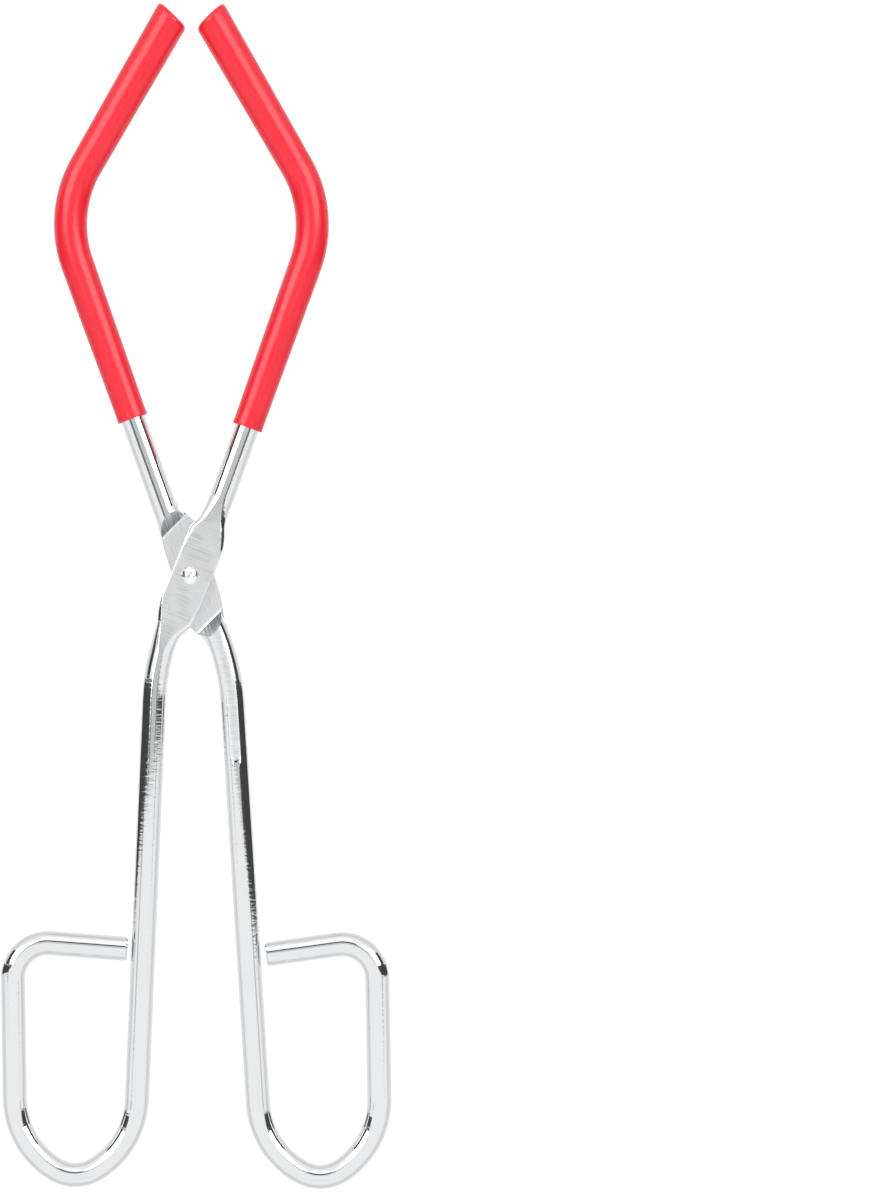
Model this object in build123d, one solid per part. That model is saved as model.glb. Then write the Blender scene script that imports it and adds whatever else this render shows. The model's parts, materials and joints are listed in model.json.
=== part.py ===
from build123d import *

import os
from dataclasses import dataclass
from math import acos, cos, degrees, radians, sin, tan

# Beaker tongs: two arms of bent round wire, crossed in a half lap and joined by one rivet.
# Each arm runs from a finger loop, through the crossing, to a jaw that bends back to the middle.
# A closed, dip-moulded sleeve is pushed over each jaw. The arms are one part, one of them turned over.
# Millimetres and degrees. +Y points from the loops to the jaws and +Z is up from the bench.
# Directions are measured anticlockwise from +X, seen from above.
# The origin is on the bench, under the middle of the outline.

# Wire and its bends, along the centre line, outward from the rivet
ROD_DIAMETER = 5.5
JAW_LENGTH = 74.0
CRANK_RADIUS = 60.0
JAW_LEAN = 19.7
JAW_BEND_RADIUS = 26.6
TIP_LEAN = 29.9
NECK_LENGTH = 12.0
NECK_BEND_RADIUS = 51.0
SHANK_LENGTH = 89.3
LOOP_WIDTH = 26.8
LOOP_FLANK_RADIUS = 19.0
LOOP_TOE_RADIUS = 8.7
LOOP_SIDE_LENGTH = 26.8
LOOP_CORNER_RADIUS = 7.8
WIRE_END_CHAMFER = 0.35

# Flat pressed into each arm where the two cross
FLAT_WIDTH = 8.8
FLAT_CORNER_AT = 10.4
FLAT_SWELL_AT = 8.6
FLAT_RUNOUT_AT = 17.5
FLAT_RUNOUT_WIDTH = 1.6
FLAT_THICKNESS = 2.65
FLAT_EDGE_RADIUS = 0.7
FLAT_CORNER_RADIUS = 0.4
FLAT_RUNOUT_RADIUS = 0.5
FLAT_SWELL_RADIUS = 14.0
FLAT_GAP = 0.1
SHOULDER_AT = 10.3
SHOULDER_SKEW = 28.0
SHOULDER_SLOPE = 45.0
SHOULDER_FILLET = 1.2

# Witness flat that the press leaves on the wire's crest, from the recess to its rounded end on the shank
WITNESS_LENGTH = 11.3
WITNESS_DEPTH = 0.25
WITNESS_END_RADIUS = 3.0

# Rivet
RIVET_DIAMETER = 3.0
RIVET_HEAD_DIAMETER = 4.4
RIVET_HEAD_HEIGHT = 0.8
RIVET_HOLE_CLEARANCE = 0.05
RIVET_END_PLAY = 0.05

# Sleeves
SLEEVE_CLEARANCE = 0.05
SLEEVE_MOUTH_WALL = 0.6
SLEEVE_TIP_WALL = 1.25
SLEEVE_END_WALL = 2.5
SLEEVE_END_SKEW = 14.0
SLEEVE_TIP_ROUND = 1.0
SLEEVE_LIP_CHAMFER = 0.2

ROD_RADIUS = ROD_DIAMETER / 2
BORE_RADIUS = ROD_RADIUS + SLEEVE_CLEARANCE
MOUTH_RADIUS = BORE_RADIUS + SLEEVE_MOUTH_WALL
TIP_RADIUS = BORE_RADIUS + SLEEVE_TIP_WALL
# Longer than any cut has to reach
CUT_REACH = 4 * ROD_DIAMETER


@dataclass(frozen=True)
class Bends:
    """What differs from one arm to the other, because both are bent on a hand bender."""

    neck_lean: float  # crossing and neck, from the line down the middle
    flat_lean: float  # pressed flat, likewise
    flat_offset: float  # pressed flat's middle, from the rivet towards the jaw's inner side
    crank_at: float  # from the rivet to the slight bend at the start of the jaw
    shank_lean: float  # shank, outward
    side_lean: float  # outer side of the loop, outward
    top_slope: float  # end of the wire across the top of the loop, downward
    end_gap: float  # between the cut end and the shank
    sleeve_leg: float  # sleeve on the jaw's lower length
    tip_clear: float  # from the line down the middle to the tip's inner corner, before rounding


FRONT = Bends(22.0, 22.5, -0.3, 18.3, 2.45, 0.9, 4.3, 0.8, 38.6, 1.25)
REAR = Bends(24.5, 17.5, 0.6, 1.5, 3.6, -1.0, 7.9, 1.2, 36.7, 0.82)


class Bar:
    """Round bar made as wire is bent: straight lengths joined by tangent bends."""

    def __init__(self, start, direction, radius):
        self.start = Vector(start)
        self.point = self.start
        self.direction = direction
        self.radius = radius
        self.solids = []

    def heading(self):
        return Vector(1, 0, 0).rotate(Axis.Z, self.direction)

    def end_plane(self):
        return Plane(origin=self.point, z_dir=self.heading())

    def straight(self, length, end_radius=None):
        """Adds a straight length, tapering to another radius if one is given."""
        from_end = (Align.CENTER, Align.CENTER, Align.MIN)
        if end_radius in (None, self.radius):
            piece = Cylinder(self.radius, length, align=from_end)
        else:
            piece = Cone(self.radius, end_radius, length, align=from_end)
            self.radius = end_radius
        self.solids.append(self.end_plane() * piece)
        self.point += self.heading() * length

    def bend(self, turn, bend_radius):
        """Adds a bend, anticlockwise if the turn is positive."""
        side = 1 if turn > 0 else -1
        centre = self.point + self.heading().rotate(Axis.Z, side * 90) * bend_radius
        bend_axis = Axis(centre, (0, 0, side))
        self.solids.append(revolve(self.end_plane() * Circle(self.radius), bend_axis, abs(turn)))
        self.point = centre + (self.point - centre).rotate(Axis.Z, turn)
        self.direction += turn

    def bend_to(self, direction, bend_radius):
        self.bend(direction - self.direction, bend_radius)

    def solid(self):
        return self.solids[0].fuse(*self.solids[1:])


def to_jaw_bend(bar, bends):
    """Carries a bar from the rivet to the start of the jaw's bend."""
    bar.straight(bends.crank_at)
    crank_turn = bends.neck_lean - JAW_LEAN
    bar.bend(crank_turn, CRANK_RADIUS)
    bar.straight(JAW_LENGTH - bends.crank_at - radians(crank_turn) * CRANK_RADIUS)


def to_shank(bar, bends):
    """Carries a bar from the rivet through the neck to the start of the shank."""
    bar.straight(NECK_LENGTH)
    bar.bend_to(270 - bends.shank_lean, NECK_BEND_RADIUS)


def length_to_line(bar, line_point, line_heading, clear):
    """Length of a straight that stops clear short of a line, measured square to that line."""
    across = line_heading.rotate(Axis.Z, 90)
    distance = abs((line_point - bar.point).dot(across))
    return (distance - clear) / abs(bar.heading().dot(across))


def chamfer_end(bar, length):
    """Breaks the edge round a bar's last end face."""
    solid = bar.solid()
    end_face = solid.faces().sort_by_distance(bar.point)[0]
    return chamfer(end_face.edges(), length)


def tip_length(bend_end, bends):
    """Length from the end of the jaw's bend to the middle of the sleeve's slanted end."""
    slant = radians(SLEEVE_END_SKEW)
    corner_reach = TIP_RADIUS * cos(radians(TIP_LEAN) + slant) / cos(slant)
    return (bend_end.X - bends.tip_clear - corner_reach) / sin(radians(TIP_LEAN))


def jaw_bar(bends):
    """Wire from the rivet to the end inside the jaw's sleeve."""
    bar = Bar((0, 0, 0), 90 - bends.neck_lean, ROD_RADIUS)
    to_jaw_bend(bar, bends)
    bar.bend_to(90 + TIP_LEAN, JAW_BEND_RADIUS)
    bar.straight(tip_length(bar.point, bends) - SLEEVE_END_WALL - SLEEVE_CLEARANCE)
    return chamfer_end(bar, WIRE_END_CHAMFER)


def handle_bar(bends):
    """Wire from the rivet down the shank and round the finger loop to the cut end."""
    bar = Bar((0, 0, 0), 270 - bends.neck_lean, ROD_RADIUS)
    to_shank(bar, bends)
    shank_point, shank_heading = bar.point, bar.heading()
    bar.straight(SHANK_LENGTH)
    radius_step = LOOP_FLANK_RADIUS - LOOP_TOE_RADIUS
    flank_turn = degrees(acos((LOOP_FLANK_RADIUS - LOOP_WIDTH / 2) / radius_step))
    side_direction = 90 + bends.side_lean
    bar.bend(-flank_turn, LOOP_FLANK_RADIUS)
    bar.bend_to(side_direction + flank_turn, LOOP_TOE_RADIUS)
    bar.bend_to(side_direction, LOOP_FLANK_RADIUS)
    bar.straight(LOOP_SIDE_LENGTH)
    bar.bend_to(-bends.top_slope, LOOP_CORNER_RADIUS)
    bar.straight(length_to_line(bar, shank_point, shank_heading, ROD_RADIUS + bends.end_gap))
    return chamfer_end(bar, WIRE_END_CHAMFER)


def flat_outline():
    """Plan of the pressed flat, along +X, the same after half a turn about the rivet."""
    half = FLAT_WIDTH / 2
    tongue = FLAT_RUNOUT_WIDTH / 2
    side = [
        (FLAT_CORNER_AT, half),
        (FLAT_RUNOUT_AT, tongue),
        (FLAT_RUNOUT_AT, -tongue),
        (FLAT_SWELL_AT, -half),
    ]
    turned = [(-x, -y) for x, y in side]
    radii = [FLAT_CORNER_RADIUS, FLAT_RUNOUT_RADIUS, FLAT_RUNOUT_RADIUS, FLAT_SWELL_RADIUS]
    return make_face(FilletPolyline(*side, *turned, radius=2 * radii, close=True))


def pressed_flat():
    """The flat as a plate on the upper side of the arm, along +X."""
    plate = Pos(0, 0, FLAT_GAP / 2) * extrude(flat_outline(), amount=FLAT_THICKNESS)
    top_edges = plate.faces().sort_by(Axis.Z)[-1].edges()
    return fillet(top_edges, FLAT_EDGE_RADIUS)


def crest_cut():
    """Takes the bar's crest down level with the flat, along +X."""
    top = FLAT_GAP / 2 + FLAT_THICKNESS
    above_flat = (Align.CENTER, Align.CENTER, Align.MIN)
    return Pos(0, 0, top) * Box(2 * FLAT_RUNOUT_AT, FLAT_WIDTH, ROD_RADIUS, align=above_flat)


def lap_recess():
    """What pressing takes from the arm's lower side, between two skewed, sloping shoulders."""
    depth = ROD_DIAMETER
    spread = depth / tan(radians(SHOULDER_SLOPE))
    ceiling = FLAT_GAP / 2
    profile = make_face(
        Polyline(
            (-SHOULDER_AT, ceiling),
            (SHOULDER_AT, ceiling),
            (SHOULDER_AT + spread, ceiling - depth),
            (-SHOULDER_AT - spread, ceiling - depth),
            close=True,
        )
    )
    recess = extrude(Plane.XZ * profile, amount=CUT_REACH, both=True)
    foot_edges = recess.faces().sort_by(Axis.Z)[-1].edges().filter_by(Axis.Y)
    return Rot(0, 0, -SHOULDER_SKEW) * fillet(foot_edges, SHOULDER_FILLET)


def witness_flat(bends):
    """What the press takes off the lower crest of the neck and the start of the shank."""
    bar = Bar((0, 0, 0), 270 - bends.neck_lean, ROD_RADIUS)
    to_shank(bar, bends)
    bar.straight(WITNESS_LENGTH + WITNESS_END_RADIUS)
    from_end = (Align.MAX, Align.CENTER, Align.MAX)
    cut = Box(bar.point.length, CUT_REACH, ROD_DIAMETER, align=from_end)
    end_edge = cut.edges().filter_by(Axis.Y).sort_by(Axis.X)[-2:].sort_by(Axis.Z)[-1]
    cut = fillet(end_edge, WITNESS_END_RADIUS)
    end_place = Pos(bar.point.X, bar.point.Y, WITNESS_DEPTH - ROD_RADIUS)
    return end_place * Rot(0, 0, bar.direction) * cut


def build_arm(bends, hole_diameter):
    """One arm with its jaw to the right and its recess below, about the rivet's axis."""
    along_flat = Rot(0, 0, 90 - bends.flat_lean)
    arm = jaw_bar(bends) + handle_bar(bends)
    arm += along_flat * Pos(0, bends.flat_offset, 0) * pressed_flat()
    arm -= along_flat * crest_cut()
    arm -= along_flat * lap_recess()
    arm -= witness_flat(bends)
    return arm - Cylinder(hole_diameter / 2, CUT_REACH)


def sleeve_bar(bends, radii, short_of_tip):
    """Bar along the covered jaw, with its radius at the mouth, in the bend and at the tip."""
    mouth_radius, bend_radius, tip_radius = radii
    jaw = Bar((0, 0, 0), 90 - bends.neck_lean, mouth_radius)
    to_jaw_bend(jaw, bends)
    bar = Bar(jaw.point - jaw.heading() * bends.sleeve_leg, jaw.direction, mouth_radius)
    bar.straight(bends.sleeve_leg, bend_radius)
    bar.bend_to(90 + TIP_LEAN, JAW_BEND_RADIUS)
    bar.straight(tip_length(bar.point, bends) - short_of_tip, tip_radius)
    return bar


def build_sleeve(bends):
    """Closed sleeve over the jaw, thickening from its open end to its slanted tip."""
    outer = sleeve_bar(bends, (MOUTH_RADIUS, (MOUTH_RADIUS + TIP_RADIUS) / 2, TIP_RADIUS), 0)
    tip = outer.point
    outer.straight(TIP_RADIUS)
    slant = Plane(origin=tip, z_dir=outer.heading().rotate(Axis.Z, SLEEVE_END_SKEW))
    sleeve = split(outer.solid(), bisect_by=slant, keep=Keep.BOTTOM)
    sleeve = fillet(sleeve.faces().sort_by_distance(tip)[0].edges(), SLEEVE_TIP_ROUND)
    sleeve -= sleeve_bar(bends, 3 * (BORE_RADIUS,), SLEEVE_END_WALL).solid()
    lip = sleeve.faces().sort_by_distance(outer.start)[0].edges().sort_by(SortBy.LENGTH)[-1]
    return chamfer(lip, SLEEVE_LIP_CHAMFER)


def rivet_head():
    """Low dome standing on the XY plane."""
    head_radius = RIVET_HEAD_DIAMETER / 2
    ball_radius = (head_radius**2 + RIVET_HEAD_HEIGHT**2) / (2 * RIVET_HEAD_HEIGHT)
    ball = Pos(0, 0, RIVET_HEAD_HEIGHT - ball_radius) * Sphere(ball_radius)
    return split(ball, bisect_by=Plane.XY, keep=Keep.TOP)


def build_rivet():
    """Rivet headed at both ends, tight in the rear arm and free in the front one."""
    lower_seat = -FLAT_GAP / 2 - FLAT_THICKNESS
    upper_seat = FLAT_GAP / 2 + FLAT_THICKNESS + RIVET_END_PLAY
    shank = extrude(Pos(0, 0, lower_seat) * Circle(RIVET_DIAMETER / 2), upper_seat - lower_seat)
    lower_head = Pos(0, 0, lower_seat) * Rot(180, 0, 0) * rivet_head()
    return shank + Pos(0, 0, upper_seat) * rivet_head() + lower_head


TURNED_OVER = Rot(0, 180, 0)
pieces = {
    "front_arm": build_arm(FRONT, RIVET_DIAMETER + 2 * RIVET_HOLE_CLEARANCE),
    "rear_arm": TURNED_OVER * build_arm(REAR, RIVET_DIAMETER),
    "pivot_rivet": build_rivet(),
    "right_jaw_sleeve": build_sleeve(FRONT),
    "left_jaw_sleeve": TURNED_OVER * build_sleeve(REAR),
}
middle = Compound(list(pieces.values())).bounding_box().center()
pivot_place = Pos(round(-middle.X, 1), round(-middle.Y, 1), TIP_RADIUS)
print("rivet axis at", pivot_place.position)

os.makedirs("parts", exist_ok=True)
for name, piece in pieces.items():
    export_step(pivot_place * piece, f"parts/{name}.step")
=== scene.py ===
import json
from dataclasses import dataclass, replace
from math import acos, ceil, cos, degrees, pi, radians, sin, sqrt, tan

import bpy
from mathutils import Matrix, Vector, noise


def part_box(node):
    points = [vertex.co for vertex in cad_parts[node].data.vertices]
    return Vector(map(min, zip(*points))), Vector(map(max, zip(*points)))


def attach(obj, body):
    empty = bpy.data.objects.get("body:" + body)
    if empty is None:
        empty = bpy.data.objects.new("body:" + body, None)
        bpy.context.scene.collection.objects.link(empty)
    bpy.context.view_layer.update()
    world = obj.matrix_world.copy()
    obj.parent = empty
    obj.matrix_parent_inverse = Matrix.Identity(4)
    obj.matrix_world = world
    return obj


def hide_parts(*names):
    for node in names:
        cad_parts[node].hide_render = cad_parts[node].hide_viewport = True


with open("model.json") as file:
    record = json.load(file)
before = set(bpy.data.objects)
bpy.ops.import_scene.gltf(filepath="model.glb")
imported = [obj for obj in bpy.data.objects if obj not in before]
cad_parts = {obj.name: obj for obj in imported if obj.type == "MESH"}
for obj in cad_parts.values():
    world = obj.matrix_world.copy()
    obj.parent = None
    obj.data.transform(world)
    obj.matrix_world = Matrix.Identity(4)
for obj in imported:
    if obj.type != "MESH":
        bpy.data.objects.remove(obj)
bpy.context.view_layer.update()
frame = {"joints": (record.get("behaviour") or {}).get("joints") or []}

# Beaker tongs: two arms of bright plated wire, crossed and riveted, with red vinyl sleeves on the jaws.
# Sizes of the tongs are in millimetres and degrees; meshes and the studio are in metres, in the frame's own
# axes. +Y points from the finger loops to the jaws and +Z up. Directions turn anticlockwise from +X.
MM = 0.001

pivot = Vector(frame["joints"][0]["pos_m"])
arm_low, arm_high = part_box("front_arm")
ROD_RADIUS = (arm_high.z - arm_low.z) / MM / 2
# The tongs lie on the tips of their sleeves
TIP_RADIUS = pivot.z / MM

# Wire and its bends, outward from the rivet
JAW_LENGTH = 74.0
CRANK_RADIUS = 60.0
JAW_LEAN = 19.7
JAW_BEND_RADIUS = 26.6
TIP_LEAN = 29.9
NECK_LENGTH = 12.0
NECK_BEND_RADIUS = 51.0
SHANK_LENGTH = 89.3
LOOP_WIDTH = 26.8
LOOP_FLANK_RADIUS = 19.0
LOOP_TOE_RADIUS = 8.7
LOOP_SIDE_LENGTH = 26.8
LOOP_CORNER_RADIUS = 7.8
WIRE_END_CHAMFER = 0.35

# Flat pressed where the arms cross, with its recess on the other side of the wire. Its outline has
# (x, y, radius) corners, and the other half is the same turned round the rivet.
FLAT_BASE = 0.05
FLAT_TOP = 2.7
FLAT_CORNERS = [(10.4, 4.4, 0.6), (17.5, 0.8, 0.5), (17.5, -0.8, 0.5), (8.6, -4.4, 14.0)]
SHOULDER_AT = 10.3
SHOULDER_SKEW = 28.0
SHOULDER_FILLET = 1.2
WITNESS_LENGTH = 11.3
WITNESS_DEPTH = 0.25
WITNESS_END_RADIUS = 3.0

# The wire is fully flat this far from the rivet, and round again further out
PRESSED_TO = 11.0
ROUND_FROM = 19.5
EDGE_ROUND_MIDDLE = 0.35
EDGE_ROUND_OUT = 1.15
EDGE_ROUND_GROWS = (5.0, 11.5)
BLEND_SOFTNESS = 0.6
# A narrow ledge under each edge of the flat keeps the shoulders' corners apart when the jaws are wide open
LEDGE_LEVEL = 0.01
LEDGE_WIDTH = 0.5

RIVET_RADIUS = 1.5
RIVET_HEAD_RADIUS = 2.2
RIVET_HEAD_HEIGHT = 0.8
RIVET_CLEARANCE = 0.05
RIVET_CAP_RADIUS = 1.82
RIVET_CAP_POWER = 2.6
RIVET_SKIRT = 0.14
RIVET_SKIRT_EDGE = 0.06
RIVET_DENT = 0.1
RIVET_DENT_SHARE = 0.3
RIVET_OVAL = 0.06
RIVET_WAVE = 0.05
RIVET_WAVE_ROUND = 1.3

SLEEVE_SEAT = 0.05
BORE_RADIUS = ROD_RADIUS + SLEEVE_SEAT
BORE_CHAMFER = 0.15
MOUTH_WALL = 0.6
MOUTH_RADIUS = BORE_RADIUS + MOUTH_WALL
LIP_RADIUS = 0.22
LIP_PROUD = 0.06
LIP_NECK_AT = 0.7
LIP_NECK_PROUD = 0.05
LIP_END_AT = 1.2
SLEEVE_WAVE = 0.05
SLEEVE_WAVE_LENGTH = 9.0
SLEEVE_WAVE_ROUND = 1.5
SLEEVE_WAVE_FROM_MOUTH = 4.0
SLEEVE_END_WALL = 2.5
SLEEVE_END_SKEW = 14.0
SLEEVE_TIP_RUN = 4.0
SLEEVE_TIP_ROUND = 1.0
SLEEVE_TIP_EASE = 0.16

# How finely the meshes are drawn: points in a ring, steps in an arc, and steps along the wire
RING_POINTS = 56
FLAT_EDGE_STEPS = 10
FLAT_WALL_STEPS = 2
HOLE_POINTS = 48
SLEEVE_POINTS = 64
LIP_STEPS = 4
TIP_RUN_STEPS = 6
TIP_ROUND_STEPS = 8
TIP_FACE_SHARES = (0.8, 0.5, 0.2)
BORE_MARGIN = 1.0
SKIN_MARGIN = 0.3
RIVET_POINTS = 64
RIVET_CAP_STEPS = 22
FINE_STEP = 0.25
BEND_STEP = 0.6
STRAIGHT_STEP = 2.0
SHARP_ANGLE = 30.0

# How far cutters reach past the wire, sideways and up
CUT_REACH = 12.0
CUT_HEIGHT = 4.0
# A cut face counts as level when its normal is at least this upright
LEVEL_FROM = 0.9

# Ring points each side of the crest that the brushed finish covers, how many of them it fades over, and
# its share on the wire's cut ends
BRUSHED_POINTS = 5
BRUSHED_FADE = 3
CUT_END_BRUSHED = 0.5

# Rounding left in distances along a line
SLACK = 1e-6


@dataclass(frozen=True)
class Bends:
    """What differs from one arm to the other, because both are bent on a hand bender."""

    neck_lean: float
    flat_lean: float
    flat_offset: float
    crank_at: float
    shank_lean: float
    side_lean: float
    top_slope: float
    end_gap: float
    sleeve_leg: float
    tip_clear: float


FRONT = Bends(22.0, 22.5, -0.3, 18.3, 2.45, 0.9, 4.3, 0.8, 38.6, 1.25)
REAR = Bends(24.5, 17.5, 0.6, 1.5, 3.6, -1.0, 7.9, 1.2, 36.7, 0.82)


def toward(direction):
    """Unit vector in a direction seen from above."""
    return Vector((cos(radians(direction)), sin(radians(direction))))


def smooth_step(start, end, value):
    """0 before start, 1 after end, and a soft rise between them."""
    share = min(max((value - start) / (end - start), 0), 1)
    return share * share * (3 - 2 * share)


class WireLine:
    """Centre line seen from above, made as wire is bent: straight lengths and tangent bends."""

    def __init__(self, direction):
        # Each stretch is its start's distance, its length and turn, and its start's point and direction
        self.stretches = []
        self.length = 0
        self.point = Vector((0, 0))
        self.direction = direction

    def straight(self, length):
        self.add(length, 0)

    def bend(self, turn, bend_radius):
        self.add(radians(abs(turn)) * bend_radius, turn)

    def bend_to(self, direction, bend_radius):
        self.bend(direction - self.direction, bend_radius)

    def add(self, length, turn):
        self.stretches.append((self.length, length, turn, self.point, self.direction))
        self.length += length
        self.point, self.direction = self.at(self.length)

    def at(self, distance):
        """Point and direction at a distance from the start."""
        holding = [s for s in self.stretches if distance <= s[0] + s[1] + SLACK]
        start, length, turn, point, direction = (holding or self.stretches[-1:])[0]
        run = distance - start
        turned = turn * run / length
        half = radians(turned) / 2
        chord = run * sin(half) / half if half else run
        return point + toward(direction + turned / 2) * chord, direction + turned

    def marks(self):
        """Distances at which rings stand, close together near the rivet and in bends."""
        found = [0]
        for start, length, turn, _, _ in self.stretches:
            fine = min(max(ROUND_FROM - start, 0), length)
            coarse_step = BEND_STEP if turn else STRAIGHT_STEP
            for begin, run, step in ((start, fine, FINE_STEP), (start + fine, length - fine, coarse_step)):
                count = ceil(run / step - SLACK)
                found += [begin + run * (i + 1) / count for i in range(count)]
        return found


def jaw_line(bends):
    """Centre line from the rivet to the sleeve's slanted end."""
    line = WireLine(90 - bends.neck_lean)
    line.straight(bends.crank_at)
    crank_turn = bends.neck_lean - JAW_LEAN
    line.bend(crank_turn, CRANK_RADIUS)
    line.straight(JAW_LENGTH - bends.crank_at - radians(crank_turn) * CRANK_RADIUS)
    line.bend_to(90 + TIP_LEAN, JAW_BEND_RADIUS)
    slant = radians(SLEEVE_END_SKEW)
    corner_reach = TIP_RADIUS * cos(radians(TIP_LEAN) + slant) / cos(slant)
    line.straight((line.point.x - bends.tip_clear - corner_reach) / sin(radians(TIP_LEAN)))
    return line


def neck_line(bends):
    """Centre line from the rivet to the start of the straight shank."""
    line = WireLine(270 - bends.neck_lean)
    line.straight(NECK_LENGTH)
    line.bend_to(270 - bends.shank_lean, NECK_BEND_RADIUS)
    return line


def handle_line(bends):
    """Centre line from the rivet down the shank and round the finger loop."""
    line = neck_line(bends)
    shank_point, shank_direction = line.point, line.direction
    line.straight(SHANK_LENGTH)
    radius_step = LOOP_FLANK_RADIUS - LOOP_TOE_RADIUS
    flank_turn = degrees(acos((LOOP_FLANK_RADIUS - LOOP_WIDTH / 2) / radius_step))
    side_direction = 90 + bends.side_lean
    line.bend(-flank_turn, LOOP_FLANK_RADIUS)
    line.bend_to(side_direction + flank_turn, LOOP_TOE_RADIUS)
    line.bend_to(side_direction, LOOP_FLANK_RADIUS)
    line.straight(LOOP_SIDE_LENGTH)
    line.bend_to(-bends.top_slope, LOOP_CORNER_RADIUS)
    # The loop's top bar ends just short of the shank
    across = toward(shank_direction + 90)
    distance = abs((shank_point - line.point).dot(across))
    clear = ROD_RADIUS + bends.end_gap
    line.straight((distance - clear) / abs(toward(line.direction).dot(across)))
    return line


def rounded_outline(corners, steps=8):
    """Closed outline through (x, y, radius) corners, each rounded by its radius."""
    outline = []
    for i, (x, y, radius) in enumerate(corners):
        corner = Vector((x, y))
        if radius == 0:
            outline.append(corner)
            continue
        before = (Vector(corners[i - 1][:2]) - corner).normalized()
        after = (Vector(corners[(i + 1) % len(corners)][:2]) - corner).normalized()
        half = before.angle(after) / 2
        centre = corner + (before + after).normalized() * radius / sin(half)
        start = corner + before * radius / tan(half) - centre
        turn = pi - 2 * half
        if before.cross(after) > 0:
            turn = -turn
        for k in range(steps + 1):
            outline.append(centre + Matrix.Rotation(turn * k / steps, 2) @ start)
    return outline


def flat_outline(bends):
    """Outline of the pressed flat, seen from above."""
    plan = FLAT_CORNERS + [(-x, -y, radius) for x, y, radius in FLAT_CORNERS]
    turn = Matrix.Rotation(radians(90 - bends.flat_lean), 2)
    return [turn @ (p + Vector((0, bends.flat_offset))) for p in rounded_outline(plan)]


def reach(outline, point, heading):
    """How far an outline extends from a point in one direction; 0 where the line misses it."""
    farthest = 0
    across = Vector((-heading.y, heading.x))
    for start, end in zip(outline, outline[1:] + outline[:1]):
        side_start, side_end = (start - point).dot(across), (end - point).dot(across)
        if (side_start < 0) != (side_end < 0):
            hit = start.lerp(end, side_start / (side_start - side_end))
            farthest = max(farthest, (hit - point).dot(heading))
    return farthest


def wider_of(width, reached):
    """The larger of two half-widths, with a soft change from one to the other."""
    return (width + reached + sqrt((width - reached) ** 2 + BLEND_SOFTNESS**2)) / 2


def rounded_edge(x, z, radius, quarters):
    """Quarter circle about (x, z), from a number of quarter turns above +X."""
    angles = [pi / 2 * (quarters + k / FLAT_EDGE_STEPS) for k in range(FLAT_EDGE_STEPS + 1)]
    return [(x + radius * cos(a), z + radius * sin(a)) for a in angles]


def pressed_section(left, right, edge):
    """Ring round the pressed wire as (across, up) points: left edge, flat top, right edge, round under."""
    top_steps = RING_POINTS // 2 - 2 * (FLAT_EDGE_STEPS + FLAT_WALL_STEPS)
    low = FLAT_TOP - edge
    wall = [LEDGE_LEVEL + (low - LEDGE_LEVEL) * k / FLAT_WALL_STEPS for k in range(FLAT_WALL_STEPS)]
    ring = [(left, z) for z in wall]
    ring += rounded_edge(left - edge, low, edge, 0)
    flat = left + right - 2 * edge
    ring += [(left - edge - flat * k / top_steps, FLAT_TOP) for k in range(1, top_steps)]
    ring += rounded_edge(-right + edge, low, edge, 1)
    ring += [(-right, z) for z in reversed(wall)]
    # A level ledge leads from each edge of the flat back to the swollen underside
    left_body, right_body = max(ROD_RADIUS, left - LEDGE_WIDTH), max(ROD_RADIUS, right - LEDGE_WIDTH)
    ring.append((-right_body, LEDGE_LEVEL))
    for k in range(2, RING_POINTS // 2 - 1):
        angle = pi * (1 + 2 * k / RING_POINTS)
        width = right_body if cos(angle) < 0 else left_body
        ring.append((width * cos(angle), ROD_RADIUS * sin(angle)))
    ring.append((left_body, LEDGE_LEVEL))
    return ring


@dataclass(frozen=True)
class WireRing:
    """Section of an arm: its distance from the rivet, how far it is pressed, and its (across, up) points."""

    along: float
    pressed: float
    point: Vector
    direction: float
    section: list

    def points(self):
        left_way = toward(self.direction + 90)
        return [Vector((*(self.point + left_way * x), z)) for x, z in self.section]


def arm_places(bends):
    """Where an arm's rings stand, from the loop's cut end to the end in the sleeve."""
    handle, jaw = handle_line(bends), jaw_line(bends)
    wire_end = jaw.length - SLEEVE_END_WALL - SLEEVE_SEAT
    places = []
    for distance in reversed(handle.marks()):
        point, direction = handle.at(distance)
        places.append((-distance, point, direction - 180))
    for distance in [d for d in jaw.marks()[1:] if d < wire_end] + [wire_end]:
        places.append((distance, *jaw.at(distance)))
    return places


def flattened(outline, along, point, direction):
    """Section where the wire is wholly pressed, as wide as the flat's outline there."""
    left_way = toward(direction + 90)
    left = wider_of(ROD_RADIUS, reach(outline, point, left_way))
    right = wider_of(ROD_RADIUS, reach(outline, point, -left_way))
    growth = smooth_step(*EDGE_ROUND_GROWS, abs(along))
    return pressed_section(left, right, EDGE_ROUND_MIDDLE + growth * (EDGE_ROUND_OUT - EDGE_ROUND_MIDDLE))


def arm_rings(bends):
    """Rings of the whole arm: round wire that blends into the pressed flat."""
    outline = flat_outline(bends)
    angles = [2 * pi * i / RING_POINTS for i in range(RING_POINTS)]
    circle = [(ROD_RADIUS * cos(a), ROD_RADIUS * sin(a)) for a in angles]
    rings = []
    for along, point, direction in arm_places(bends):
        section = circle
        pressed = 1 - smooth_step(PRESSED_TO, ROUND_FROM, abs(along))
        if pressed:
            flat = flattened(outline, along, point, direction)
            section = [Vector(a).lerp(Vector(b), pressed) for a, b in zip(circle, flat)]
        rings.append(WireRing(along, pressed, point, direction, section))
    return rings


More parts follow.
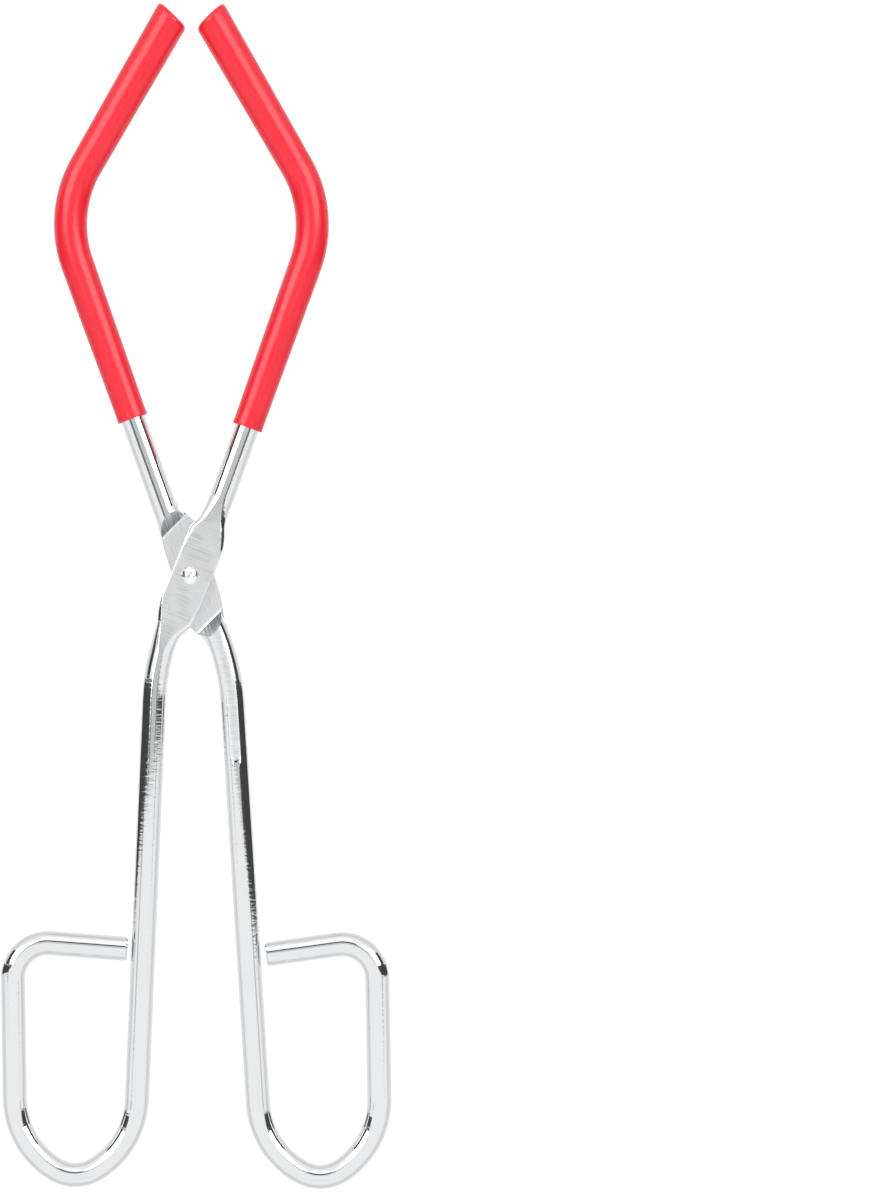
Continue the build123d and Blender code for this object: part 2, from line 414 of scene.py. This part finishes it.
def chamfered(ring, inward):
    """A cut end as two rings: the end itself, and the full wire behind its broken edge."""
    share = 1 - WIRE_END_CHAMFER / ROD_RADIUS
    end = replace(ring, section=[(x * share, z * share) for x, z in ring.section])
    step = inward * WIRE_END_CHAMFER
    full = replace(ring, along=ring.along + step, point=ring.point + step * toward(ring.direction))
    return end, full


def link(name, mesh):
    """Adds an object with this mesh to the scene."""
    piece = bpy.data.objects.new(name, mesh)
    bpy.context.scene.collection.objects.link(piece)
    return piece


def skin(name, rings, marks, brushed=None):
    """Closed surface through rings of points in millimetres, each end closed by one face.

    Its map runs along the rings' distances and round each ring, in metres. The brushed rows give each
    ring point's share of the brushed finish.
    """
    count = len(rings[0])
    around = 2 * pi * ROD_RADIUS / count
    brushed = brushed or [[0] * count] * len(rings)
    faces, uv, shares = [], [], []
    for row in range(len(rings) - 1):
        for i in range(count):
            corners = ((row, i), (row, i + 1), (row + 1, i + 1), (row + 1, i))
            faces.append([r * count + k % count for r, k in corners])
            uv += [(marks[r] * MM, k * around * MM) for r, k in corners]
            shares += [brushed[r][k % count] for r, k in corners]
    last = len(rings) - 1
    for row, order in ((0, range(count - 1, -1, -1)), (last, range(count))):
        faces.append([row * count + i for i in order])
        for i in order:
            across = rings[row][i] - rings[row][i - count // 2]
            uv.append((marks[row] * MM + across.x * MM, across.z * MM))
        shares += [CUT_END_BRUSHED] * count
    mesh = bpy.data.meshes.new(name)
    mesh.from_pydata([p * MM for ring in rings for p in ring], [], faces)
    mesh.uv_layers.new(name="wire").data.foreach_set("uv", [v for pair in uv for v in pair])
    mesh.attributes.new("brushed", "FLOAT", "CORNER").data.foreach_set("value", shares)
    return link(name, mesh)


def prism(profile, direction, origin, grain, material_of):
    """Cutter with a profile of (along, up) points, standing across a direction seen from above.

    Its map runs along the grain, the direction in which the press drew its lines.
    """
    along, across = toward(direction), toward(direction + 90)
    rings = []
    for side in (CUT_REACH, -CUT_REACH):
        rings.append([Vector((*(origin + along * s + across * side), z)) for s, z in profile])
    count = len(profile)
    faces = [[i, (i + 1) % count, count + (i + 1) % count, count + i] for i in range(count)]
    faces += [list(range(count))[::-1], list(range(count, 2 * count))]
    mesh = bpy.data.meshes.new("cutter")
    mesh.from_pydata([p * MM for ring in rings for p in ring], [], faces)
    uv = mesh.uv_layers.new(name="wire")
    for loop in mesh.loops:
        co = mesh.vertices[loop.vertex_index].co
        uv.data[loop.index].uv = (co.xy.dot(toward(grain)), co.xy.dot(toward(grain + 90)))
    for material in dict.fromkeys(material_of.values()):
        mesh.materials.append(material)
    for face in mesh.polygons:
        kind = "level" if abs(face.normal.z) > LEVEL_FROM else "slope"
        face.material_index = mesh.materials.find(material_of[kind].name)
    return link("cutter", mesh)


def carve(piece, cutters):
    """Takes the cutters out of a piece and deletes them."""
    for cutter in cutters:
        cut = piece.modifiers.new("cut", "BOOLEAN")
        cut.object = cutter
        cut.operation = "DIFFERENCE"
        cut.solver = "EXACT"
        cut.material_mode = "TRANSFER"
    bpy.context.view_layer.update()
    evaluated = piece.evaluated_get(bpy.context.evaluated_depsgraph_get())
    carved = bpy.data.meshes.new_from_object(evaluated)
    piece.modifiers.clear()
    piece.data = carved
    for cutter in cutters:
        bpy.data.objects.remove(cutter)


def settle(piece, place, body, node):
    """Puts a finished mesh in the frame, shades it smooth, attaches it to its named body and hides the CAD
    node it stands for.
    """
    piece.data.transform(place)
    piece.data.shade_smooth()
    piece.data.set_sharp_from_angle(angle=radians(SHARP_ANGLE))
    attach(piece, body)
    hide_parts(node)
    return piece


# Both arms are drawn with the recess below. The front arm stays that way, and the rear arm is turned over.
UPRIGHT = Matrix.Translation(pivot)
TURNED_OVER = Matrix.Translation(pivot) @ Matrix.Rotation(pi, 4, "Y")


def linear(hex_colour):
    """An sRGB hex colour as linear values."""
    channels = [int(hex_colour[i : i + 2], 16) / 255 for i in (1, 3, 5)]
    return (*[c / 12.92 if c <= 0.04045 else ((c + 0.055) / 1.055) ** 2.4 for c in channels], 1)


def add(tree, kind, settings=None, **inputs):
    """Adds a node. An input is a value or another node's output.

    In an input's name _ stands for a space, and _6 means the input with that number.
    """
    made = tree.nodes.new(kind)
    for name, value in (settings or {}).items():
        setattr(made, name, value)
    for name, value in inputs.items():
        key = int(name[1:]) if name[1:].isdigit() else name.replace("_", " ")
        if isinstance(value, bpy.types.NodeSocket):
            tree.links.new(value, made.inputs[key])
        else:
            made.inputs[key].default_value = value
    return made


def new_material(name):
    """An empty material, with its node tree."""
    material = bpy.data.materials.new(name)
    material.use_nodes = True
    material.node_tree.nodes.clear()
    return material, material.node_tree


WHITE = linear("#FFFFFF")
OF_COLOURS = {"data_type": "RGBA"}
OF_NUMBERS = {"data_type": "FLOAT"}


def fine_lines(tree, along, across):
    """Uneven streaks, 0 to 1, of these sizes in millimetres along and across the surface's map."""
    uv = add(tree, "ShaderNodeUVMap", {"uv_map": "wire"}).outputs["UV"]
    stretch = (1 / (along * MM), 1 / (across * MM), 1)
    stretched = add(tree, "ShaderNodeMapping", Vector=uv, Scale=stretch).outputs[0]
    uneven = add(tree, "ShaderNodeTexNoise", Vector=stretched, Scale=1.0, Detail=3.0).outputs[0]
    return add(tree, "ShaderNodeMapRange", Value=uneven, From_Min=0.3, From_Max=0.7).outputs[0]


# Bright nickel and chrome plate on drawn steel wire
PLATE_COLOUR = linear("#E8EAEB")
BUFFED_ROUGHNESS = 0.06
BRUSHED_ROUGHNESS = 0.27
BRUSHED_PLAIN = linear("#F4F5F6")
BRUSH_LINE_LOW = linear("#D4D6D8")
RIPPLE_APART = 0.8
RIPPLE_LENGTH = 3.0
BRUSH_APART = 0.3
BRUSH_LENGTH = 5.0
BRUSH_PATCH = 4.0
RIPPLE_DEPTH = 0.006


def plated_wire():
    """Bright plated wire, buffed before plating: it mirrors the room in long bands with broken edges.

    The pressed flat is brushed, so that it is an even, pale satin with lines straight across the arm.
    Ripples and lines are drawn wider apart than the real ones, which are too fine to show.
    """
    material, tree = new_material("bright_plated_steel_wire")
    brushed = add(tree, "ShaderNodeAttribute", {"attribute_name": "brushed"}).outputs["Fac"]
    ripple = fine_lines(tree, RIPPLE_APART, RIPPLE_LENGTH)
    brush = fine_lines(tree, BRUSH_APART, BRUSH_LENGTH)
    height = add(tree, "ShaderNodeMix", OF_NUMBERS, _0=brushed, _2=ripple, _3=brush).outputs[0]
    bump = add(tree, "ShaderNodeBump", Strength=1.0, Distance=RIPPLE_DEPTH * MM, Height=height)
    # The brush lines come and go over a few millimetres
    place = add(tree, "ShaderNodeTexCoord").outputs["Object"]
    patches = add(tree, "ShaderNodeTexNoise", Vector=place, Scale=1 / (BRUSH_PATCH * MM), Detail=1.0)
    strong = add(tree, "ShaderNodeMapRange", Value=patches.outputs[0], From_Min=0.42, From_Max=0.62)
    lined = add(tree, "ShaderNodeMix", OF_COLOURS, _0=brush, _6=BRUSH_LINE_LOW, _7=WHITE).outputs[2]
    satin = add(tree, "ShaderNodeMix", OF_COLOURS, _0=strong.outputs[0], _6=BRUSHED_PLAIN, _7=lined)
    colour = add(tree, "ShaderNodeMix", OF_COLOURS, _0=brushed, _6=PLATE_COLOUR, _7=satin.outputs[2])
    rough = add(tree, "ShaderNodeMapRange", Value=brushed, To_Min=BUFFED_ROUGHNESS, To_Max=BRUSHED_ROUGHNESS)
    shader = add(tree, "ShaderNodeBsdfPrincipled", Base_Color=colour.outputs[2], Metallic=1.0,
                 Roughness=rough.outputs[0], Normal=bump.outputs[0])
    add(tree, "ShaderNodeOutputMaterial", Surface=shader.outputs[0])
    return material


DRAWN_LINE_LENGTH = 5.0


def pressed_plate(name, low, high, roughness, spacing, depth):
    """Plated steel left as the press shaped it: satin, with scored lines along the grain of the cut.

    The lines are drawn wider apart than the real ones, which are too fine to show.
    """
    material, tree = new_material(name)
    lines = fine_lines(tree, DRAWN_LINE_LENGTH, spacing)
    bump = add(tree, "ShaderNodeBump", Strength=1.0, Distance=depth * MM, Height=lines)
    colour = add(tree, "ShaderNodeMix", OF_COLOURS, _0=lines, _6=low, _7=high).outputs[2]
    shader = add(tree, "ShaderNodeBsdfPrincipled", Base_Color=colour, Metallic=1.0, Roughness=roughness,
                 Normal=bump.outputs[0])
    add(tree, "ShaderNodeOutputMaterial", Surface=shader.outputs[0])
    return material


RIVET_COLOUR = linear("#F8F9F9")
RIVET_ROUGHNESS = 0.2
PEEN_SIZE = 1.3
PEEN_DEPTH = 0.25


def peened_rivet():
    """Plated steel rivet, peened by hand: bright, with soft dents that break up its reflections."""
    material, tree = new_material("peened_plated_steel_rivet")
    place = add(tree, "ShaderNodeTexCoord").outputs["Object"]
    dents = add(tree, "ShaderNodeTexNoise", Vector=place, Scale=1 / (PEEN_SIZE * MM), Detail=1.0)
    bump = add(tree, "ShaderNodeBump", Strength=1.0, Distance=PEEN_DEPTH * MM, Height=dents.outputs[0])
    shader = add(tree, "ShaderNodeBsdfPrincipled", Base_Color=RIVET_COLOUR, Metallic=1.0,
                 Roughness=RIVET_ROUGHNESS, Normal=bump.outputs[0])
    add(tree, "ShaderNodeOutputMaterial", Surface=shader.outputs[0])
    return material


VINYL_LOW = linear("#F41C30")
VINYL_HIGH = linear("#FA2A3E")
VINYL_ROUGHNESS = 0.24
VINYL_IOR = 1.53
VINYL_WAVE_LENGTH = 7.0
VINYL_WAVE_DEPTH = 0.12


def dipped_vinyl():
    """Dip-moulded red plastisol: glossy, with a soft highlight that slow waves in the skin bend a little."""
    material, tree = new_material("dip_moulded_red_vinyl")
    place = add(tree, "ShaderNodeTexCoord").outputs["Object"]
    waves = add(tree, "ShaderNodeTexNoise", Vector=place, Scale=1 / (VINYL_WAVE_LENGTH * MM), Detail=2.0)
    bump = add(tree, "ShaderNodeBump", Strength=1.0, Distance=VINYL_WAVE_DEPTH * MM, Height=waves.outputs[0])
    tone = add(tree, "ShaderNodeMix", OF_COLOURS, _0=waves.outputs[0], _6=VINYL_LOW, _7=VINYL_HIGH)
    shader = add(tree, "ShaderNodeBsdfPrincipled", Base_Color=tone.outputs[2], Roughness=VINYL_ROUGHNESS,
                 IOR=VINYL_IOR, Normal=bump.outputs[0])
    add(tree, "ShaderNodeOutputMaterial", Surface=shader.outputs[0])
    return material


WIRE = plated_wire()
LAP = pressed_plate("pressed_plated_steel_lap", linear("#E4E6E8"), linear("#FAFBFB"),
                    roughness=0.28, spacing=0.35, depth=0.01)
# The shoulder's scored lines are the steel's own. Its darker colours are painted shade, standing in for the
# darkness the sloped facets show beside the other arm.
SHOULDER_PAINTED_SHADE = pressed_plate("pressed_plated_steel_shoulder_painted_shade", linear("#A4A6AA"), linear("#E8EAEC"),
                         roughness=0.3, spacing=0.4, depth=0.05)
RIVET = peened_rivet()
VINYL = dipped_vinyl()


def lap_recess(bends):
    """Cutter for what pressing takes from the wire, between two skewed, sloping shoulders."""
    depth = 2 * ROD_RADIUS
    foot = SHOULDER_AT
    corners = [(-foot, FLAT_BASE, SHOULDER_FILLET), (-foot - depth, FLAT_BASE - depth, 0),
               (foot + depth, FLAT_BASE - depth, 0), (foot, FLAT_BASE, SHOULDER_FILLET)]
    profile = rounded_outline(corners)
    arm_way = 90 - bends.flat_lean
    # Sloped faces take the shoulder finish, whose darker colour is painted shade.
    return prism(profile, arm_way - SHOULDER_SKEW, Vector((0, 0)), arm_way, {"level": LAP, "slope": SHOULDER_PAINTED_SHADE})


def witness_flat(bends):
    """Cutter for the flat that the press leaves on the crest of the neck and the top of the shank."""
    line = neck_line(bends)
    line.straight(WITNESS_LENGTH + WITNESS_END_RADIUS)
    level = WITNESS_DEPTH - ROD_RADIUS
    below = -2 * ROD_RADIUS
    back = -line.point.length
    corners = [(back, level, 0), (back, below, 0), (0, below, 0), (0, level, WITNESS_END_RADIUS)]
    profile = rounded_outline(corners, steps=12)
    return prism(profile, line.direction, line.point, line.direction + 90, {"level": LAP, "slope": LAP})


def rivet_hole(radius):
    """Cutter for the hole that the rivet goes through."""
    rings = []
    for z in (-CUT_HEIGHT, CUT_HEIGHT):
        angles = [2 * pi * i / HOLE_POINTS for i in range(HOLE_POINTS)]
        rings.append([Vector((radius * cos(a), radius * sin(a), z)) for a in angles])
    return skin("cutter", rings, (-CUT_HEIGHT, CUT_HEIGHT))


def brushed_shares():
    """Each ring point's share of the brushed finish: whole on the crest, none on the wire's sides."""
    first, last = RING_POINTS // 4 - BRUSHED_POINTS, RING_POINTS // 4 + BRUSHED_POINTS
    shares = []
    for i in range(RING_POINTS):
        rise = smooth_step(first, first + BRUSHED_FADE, i)
        fall = smooth_step(last - BRUSHED_FADE, last, i)
        shares.append(rise * (1 - fall))
    return shares


def make_arm(name, bends, hole_radius, place, body, node):
    """One plated arm, bent, pressed, lapped and drilled."""
    first, *middle, last = arm_rings(bends)
    loop_end, loop_full = chamfered(first, 1)
    jaw_end, jaw_full = chamfered(last, -1)
    rings = [loop_end, loop_full, *middle, jaw_full, jaw_end]
    brushed = [[ring.pressed * share for share in brushed_shares()] for ring in rings]
    arm = skin(name, [ring.points() for ring in rings], [ring.along for ring in rings], brushed)
    arm.data.materials.append(WIRE)
    carve(arm, [lap_recess(bends), witness_flat(bends), rivet_hole(hole_radius)])
    return settle(arm, place, body, node)


@dataclass(frozen=True)
class SleeveRing:
    """Round section of a sleeve, at a distance along the jaw, leaning by an angle, and a little uneven."""

    distance: float
    radius: float
    lean: float = 0
    uneven: float = 0

    def points(self, line):
        point, direction = line.at(self.distance)
        made = []
        for i in range(SLEEVE_POINTS):
            angle = 2 * pi * i / SLEEVE_POINTS
            side = SLEEVE_WAVE_ROUND * cos(angle), SLEEVE_WAVE_ROUND * sin(angle)
            wave = noise.noise(Vector((self.distance / SLEEVE_WAVE_LENGTH, *side)))
            radius = self.radius - self.uneven * (0.5 + 0.5 * wave)
            across, up = radius * cos(angle), radius * sin(angle)
            ahead = -across * tan(radians(self.lean))
            seen = point + toward(direction + 90) * across + toward(direction) * ahead
            made.append(Vector((*seen, up)))
        return made


def outer_radius(line, bends, distance):
    """Outside of a sleeve: it grows from the mouth, stays level round the bend and grows to the tip."""
    middle_radius = (MOUTH_RADIUS + TIP_RADIUS) / 2
    if distance < JAW_LENGTH:
        mouth = JAW_LENGTH - bends.sleeve_leg
        return MOUTH_RADIUS + (middle_radius - MOUTH_RADIUS) * (distance - mouth) / bends.sleeve_leg
    _, tip_length, *_ = line.stretches[-1]
    bend_end = line.length - tip_length
    share = min(max((distance - bend_end) / (line.length - bend_end), 0), 1)
    return middle_radius + (TIP_RADIUS - middle_radius) * share


def bore_rings(line, mouth):
    """Bore from its closed end out to the chamfer at the mouth."""
    bore_end = line.length - SLEEVE_END_WALL
    inside = [d for d in line.marks() if mouth + BORE_MARGIN < d < bore_end - BORE_MARGIN]
    rings = [SleeveRing(bore_end, BORE_RADIUS / 2)]
    rings += [SleeveRing(distance, BORE_RADIUS) for distance in [bore_end] + inside[::-1]]
    rings.append(SleeveRing(mouth + BORE_CHAMFER, BORE_RADIUS))
    rings.append(SleeveRing(mouth, BORE_RADIUS + BORE_CHAMFER))
    return rings


def lip_rings(mouth, after_lip):
    """Cut mouth: a thin rolled lip that stands a little proud."""
    rings = []
    for k in range(LIP_STEPS + 1):
        angle = pi / 2 * k / LIP_STEPS
        radius = MOUTH_RADIUS - LIP_RADIUS + LIP_RADIUS * sin(angle) + LIP_PROUD
        rings.append(SleeveRing(mouth + LIP_RADIUS * (1 - cos(angle)), radius))
    rings.append(SleeveRing(mouth + LIP_NECK_AT, MOUTH_RADIUS + LIP_NECK_PROUD))
    rings.append(SleeveRing(mouth + LIP_END_AT, after_lip))
    return rings


def side_rings(line, bends, mouth):
    """Long tapered outside of a sleeve, which grows uneven away from the mouth."""
    first = mouth + LIP_END_AT + SKIN_MARGIN
    last = line.length - SLEEVE_TIP_RUN - SKIN_MARGIN
    rings = []
    for distance in line.marks():
        if first < distance < last:
            uneven = SLEEVE_WAVE * smooth_step(mouth, mouth + SLEEVE_WAVE_FROM_MOUTH, distance)
            rings.append(SleeveRing(distance, outer_radius(line, bends, distance), uneven=uneven))
    return rings


def tip_rings(line, bends):
    """Slanted, rounded end. It leans over gradually, so that its last rings lie in the slanted plane."""
    tip = line.length - SLEEVE_TIP_EASE
    rim_start = tip - SLEEVE_TIP_ROUND
    rings = []
    for k in range(1, TIP_RUN_STEPS + 1):
        share = k / TIP_RUN_STEPS
        distance = tip - SLEEVE_TIP_RUN + share * (rim_start - tip + SLEEVE_TIP_RUN)
        radius = outer_radius(line, bends, distance)
        rings.append(SleeveRing(distance, radius, SLEEVE_END_SKEW * share, SLEEVE_WAVE * (1 - share)))
    for k in range(1, TIP_ROUND_STEPS + 1):
        angle = pi / 2 * k / TIP_ROUND_STEPS
        radius = TIP_RADIUS - SLEEVE_TIP_ROUND * (1 - cos(angle))
        rings.append(SleeveRing(rim_start + SLEEVE_TIP_ROUND * sin(angle), radius, SLEEVE_END_SKEW))
    for share in TIP_FACE_SHARES:
        rings.append(SleeveRing(tip, (TIP_RADIUS - SLEEVE_TIP_ROUND) * share, SLEEVE_END_SKEW))
    return rings


def make_sleeve(name, bends, place, body, node):
    """One closed sleeve: bore, square-cut mouth, tapered outside and slanted, rounded end."""
    line = jaw_line(bends)
    mouth = JAW_LENGTH - bends.sleeve_leg
    rings = bore_rings(line, mouth) + lip_rings(mouth, outer_radius(line, bends, mouth + LIP_END_AT))
    rings += side_rings(line, bends, mouth) + tip_rings(line, bends)
    sleeve = skin(name, [ring.points(line) for ring in rings], [ring.distance for ring in rings])
    sleeve.data.materials.append(VINYL)
    return settle(sleeve, place, body, node)


def cap_height(share):
    """Height of the peened cap at a share of its radius, with a small dent in the middle."""
    dent = RIVET_DENT * max(0, 1 - (share / RIVET_DENT_SHARE) ** 2)
    return RIVET_SKIRT + (RIVET_HEAD_HEIGHT - RIVET_SKIRT) * (1 - share**RIVET_CAP_POWER) - dent


def head_profile():
    """Rivet's head from its middle to its seat, as (radius, height, uneven): a cap on a thin skirt."""
    shares = [k / RIVET_CAP_STEPS for k in range(1, RIVET_CAP_STEPS + 1)]
    profile = [(RIVET_CAP_RADIUS * share, cap_height(share), share) for share in shares]
    profile.append((RIVET_HEAD_RADIUS - RIVET_SKIRT_EDGE, RIVET_SKIRT, 0))
    profile.append((RIVET_HEAD_RADIUS, RIVET_SKIRT - RIVET_SKIRT_EDGE, 0))
    profile.append((RIVET_HEAD_RADIUS - RIVET_SKIRT_EDGE / 2, 0, 0))
    return profile


def rivet_ring(radius, z, uneven):
    """Ring of the rivet, where uneven a little oval and wavy, as hammering leaves it."""
    ring = []
    for i in range(RIVET_POINTS):
        angle = 2 * pi * i / RIVET_POINTS
        wave = noise.noise(Vector((RIVET_WAVE_ROUND * cos(angle), RIVET_WAVE_ROUND * sin(angle), z)))
        reached = radius * (1 + uneven * (RIVET_WAVE * wave - RIVET_OVAL * cos(2 * angle)))
        ring.append(Vector((reached * cos(angle), reached * sin(angle), z)))
    return ring


def make_rivet(name, place, body, node):
    """Peened rivet: on each side an uneven cap on a thin skirt that was spread flat over the arm."""
    low_seat, high_seat = -FLAT_TOP, FLAT_TOP + RIVET_CLEARANCE
    tail = [(radius, low_seat - height, uneven) for radius, height, uneven in head_profile()]
    shank = [(RIVET_RADIUS, low_seat, 0), (RIVET_RADIUS, high_seat, 0)]
    head = [(radius, high_seat + height, uneven) for radius, height, uneven in reversed(head_profile())]
    rings = [rivet_ring(radius, z, uneven) for radius, z, uneven in tail + shank + head]
    rivet = skin(name, rings, range(len(rings)))
    rivet.data.materials.append(RIVET)
    return settle(rivet, place, body, node)


make_arm("front_arm_wire", FRONT, RIVET_RADIUS + RIVET_CLEARANCE, UPRIGHT, "front_half", "front_arm")
make_arm("rear_arm_wire", REAR, RIVET_RADIUS, TURNED_OVER, "rear_half", "rear_arm")
make_sleeve("right_sleeve_vinyl", FRONT, UPRIGHT, "front_half", "right_jaw_sleeve")
make_sleeve("left_sleeve_vinyl", REAR, TURNED_OVER, "rear_half", "left_jaw_sleeve")
make_rivet("rivet_steel_headed", UPRIGHT, "rear_half", "pivot_rivet")

# Studio, in metres: white floor, a softbox each side of the jaws, and cards that only the metal shows
FLOOR_SIZE = 3.0
PAPER = linear("#C8C8C8")
PAPER_LIFT = 0.68
PAPER_BOUNCE = linear("#A6A6A6")
SOFTBOX_RADIANCE = 2.6
SOFTBOX_SIZE = (1.6, 0.66)
SOFTBOX_AT = (1.09, 0.6, 1.0)
SOFTBOX_TURN = 25.0

# How bright the cards are, where white paper in full light is 1
CARD_GLOW = {"dark": 0.06, "dim": 0.2, "grey": 0.6, "white": 1.0, "lit": 1.2}

# Dark cards that stand beside the tongs, as x and (y from the rivet, z) corners
LOW_CARD = [(0.035, -0.05), (0.255, -0.05), (0.255, 0.26), (0.035, 0.26)]
STANDING_CARDS = {
    "dark_card_left": (-0.5, [(-0.078, -0.3), (0.03, -0.3), (0.03, 0.9), (-0.057, 0.9), (-0.057, 0.1),
                              (-0.078, -0.1)]),
    "dark_card_right": (0.5, [(-0.071, -0.3), (0.045, -0.3), (0.053, 0), (0.053, 1.06), (-0.071, 1.06)]),
    "dark_card_left_low": (-0.5, LOW_CARD),
    "dark_card_right_low": (0.5, LOW_CARD),
}

# Cards that hang level over the tongs, as glow, height and (x, y) corners. The strips darken the metal beyond
# the far side of each jaw, and the last two its far end.
HANGING_CARDS = {
    "white_card_over_loops": ("white", 0.35, [(-0.36, -0.34), (0.36, -0.34), (0.36, -0.06), (-0.36, -0.045)]),
    "grey_card_over_shanks": ("grey", 1, [(-1.6, -0.17), (1.6, -0.17), (1.6, -0.05), (-1.6, -0.05)]),
    "dim_strip_right": ("dim", 0.95, [(0.376, -0.14), (0.781, -0.284), (0.815, -0.19), (0.41, -0.046)]),
    "dim_strip_left": ("dim", 0.95, [(-0.26, -0.07), (-0.60, -0.19), (-0.63, -0.10), (-0.29, 0.02)]),
    "dark_strip_far": ("dark", 0.9, [(-0.2, 0.22), (0.2, 0.2), (0.2, 0.43), (-0.2, 0.4)]),
    "white_card_far": ("lit", 1, [(-0.3, 0.46), (0.3, 0.46), (0.45, 2), (-0.45, 2)]),
}


def studio_floor():
    """White paper: clean white to the camera apart from the object's shadow, and unseen by the metal."""
    material, tree = new_material("white_paper_floor")
    ray = add(tree, "ShaderNodeLightPath")
    paper = add(tree, "ShaderNodeBsdfDiffuse", Color=PAPER)
    lift = add(tree, "ShaderNodeEmission", Color=WHITE, Strength=PAPER_LIFT)
    shown = add(tree, "ShaderNodeAddShader", _0=paper.outputs[0], _1=lift.outputs[0])
    bounce = add(tree, "ShaderNodeBsdfDiffuse", Color=PAPER_BOUNCE)
    seen = add(tree, "ShaderNodeMixShader", _0=ray.outputs["Is Camera Ray"], _1=bounce.outputs[0],
               _2=shown.outputs[0])
    clear = add(tree, "ShaderNodeBsdfTransparent")
    both = add(tree, "ShaderNodeMixShader", _0=ray.outputs["Is Glossy Ray"], _1=seen.outputs[0],
               _2=clear.outputs[0])
    add(tree, "ShaderNodeOutputMaterial", Surface=both.outputs[0])
    mesh = bpy.data.meshes.new("floor")
    half = FLOOR_SIZE / 2
    mesh.from_pydata([(-half, -half, 0), (half, -half, 0), (half, half, 0), (-half, half, 0)], [],
                     [[0, 1, 2, 3]])
    mesh.materials.append(material)
    link("floor", mesh)


# What the metal sees by height, from straight down (0) over the horizon (0.5) to straight up (1)
ROOM = [(0.1, 0.95), (0.25, 0.86), (0.4, 0.74), (0.52, 0.8), (0.66, 1.0), (0.9, 1.0), (0.935, 0.65)]

# What paper and vinyl are lit by: softer light, from above more than from the sides
SIDE_LIGHT = 0.34
TOP_LIGHT = 0.82


def studio_world():
    """White to the camera. The metal sees a bright room, greyer at the horizon and overhead."""
    world = bpy.data.worlds.new("studio")
    world.use_nodes = True
    tree = world.node_tree
    tree.nodes.clear()
    ray = add(tree, "ShaderNodeLightPath")
    way = add(tree, "ShaderNodeSeparateXYZ", Vector=add(tree, "ShaderNodeTexCoord").outputs["Generated"])
    height = add(tree, "ShaderNodeMapRange", Value=way.outputs["Z"], From_Min=-1.0)
    room = add(tree, "ShaderNodeValToRGB", Fac=height.outputs[0])
    stops = room.color_ramp.elements
    for place, brightness in ROOM:
        stops.new(place).color = (brightness, brightness, brightness, 1)
    stops.remove(stops[0])
    stops.remove(stops[-1])
    above = add(tree, "ShaderNodeMapRange", Value=way.outputs["Z"], From_Min=-0.2, To_Min=SIDE_LIGHT,
                To_Max=TOP_LIGHT)
    lit = add(tree, "ShaderNodeMix", OF_COLOURS, _0=ray.outputs["Is Diffuse Ray"], _6=room.outputs[0],
              _7=above.outputs[0])
    shown = add(tree, "ShaderNodeMix", OF_COLOURS, _0=ray.outputs["Is Camera Ray"], _6=lit.outputs[2],
                _7=WHITE)
    background = add(tree, "ShaderNodeBackground", Color=shown.outputs[2], Strength=1.0)
    add(tree, "ShaderNodeOutputWorld", Surface=background.outputs[0])
    bpy.context.scene.world = world


def studio_softboxes():
    """A long softbox each side, over the jaws: the white and pink lines on wire and sleeves."""
    for name, side in (("left", -1), ("right", 1)):
        lamp = bpy.data.lights.new(f"softbox_{name}", "AREA")
        lamp.shape = "RECTANGLE"
        lamp.size, lamp.size_y = SOFTBOX_SIZE
        lamp.energy = SOFTBOX_RADIANCE * pi * lamp.size * lamp.size_y
        softbox = bpy.data.objects.new(f"softbox_{name}", lamp)
        x, y, z = SOFTBOX_AT
        softbox.location = (side * x, y, z)
        softbox.rotation_euler = (0, 0, radians(side * SOFTBOX_TURN))
        softbox.visible_camera = False
        bpy.context.scene.collection.objects.link(softbox)


def card_finish(glow):
    """Card that glows evenly."""
    material, tree = new_material(f"{glow}_card")
    shader = add(tree, "ShaderNodeEmission", Color=WHITE, Strength=CARD_GLOW[glow])
    add(tree, "ShaderNodeOutputMaterial", Surface=shader.outputs[0])
    return material


def card(name, corners, finish):
    """Flat card that only the reflections in the metal show."""
    mesh = bpy.data.meshes.new(name)
    mesh.from_pydata(corners, [], [list(range(len(corners)))])
    mesh.materials.append(finish)
    sheet = link(name, mesh)
    sheet.visible_camera = False
    sheet.visible_diffuse = False
    sheet.visible_shadow = False


def studio_cards():
    """Cards placed where the photograph's metal shows their reflections."""
    finishes = {glow: card_finish(glow) for glow in CARD_GLOW}
    for name, (x, corners) in STANDING_CARDS.items():
        card(name, [(x, pivot.y + y, z) for y, z in corners], finishes["dark"])
    for name, (glow, height, corners) in HANGING_CARDS.items():
        card(name, [(x, y, height) for x, y in corners], finishes[glow])


# The photograph looks straight down. Its 1200 rows cover this many metres at the wire's middle
SHOWN_HEIGHT = 0.2683
CAMERA_AT = (0.05393, -0.0008, 1.5)
SENSOR_MM = 36.0


def photo_camera():
    """The photograph's camera, far above the floor."""
    camera_data = bpy.data.cameras.new("photo_camera")
    camera_data.sensor_width = SENSOR_MM
    camera_data.lens = SENSOR_MM * (CAMERA_AT[2] - pivot.z) / SHOWN_HEIGHT
    camera = bpy.data.objects.new("photo_camera", camera_data)
    camera.location = CAMERA_AT
    bpy.context.scene.collection.objects.link(camera)
    bpy.context.scene.camera = camera


studio_floor()
studio_world()
studio_softboxes()
studio_cards()
photo_camera()
bpy.context.scene.view_settings.view_transform = "Standard"
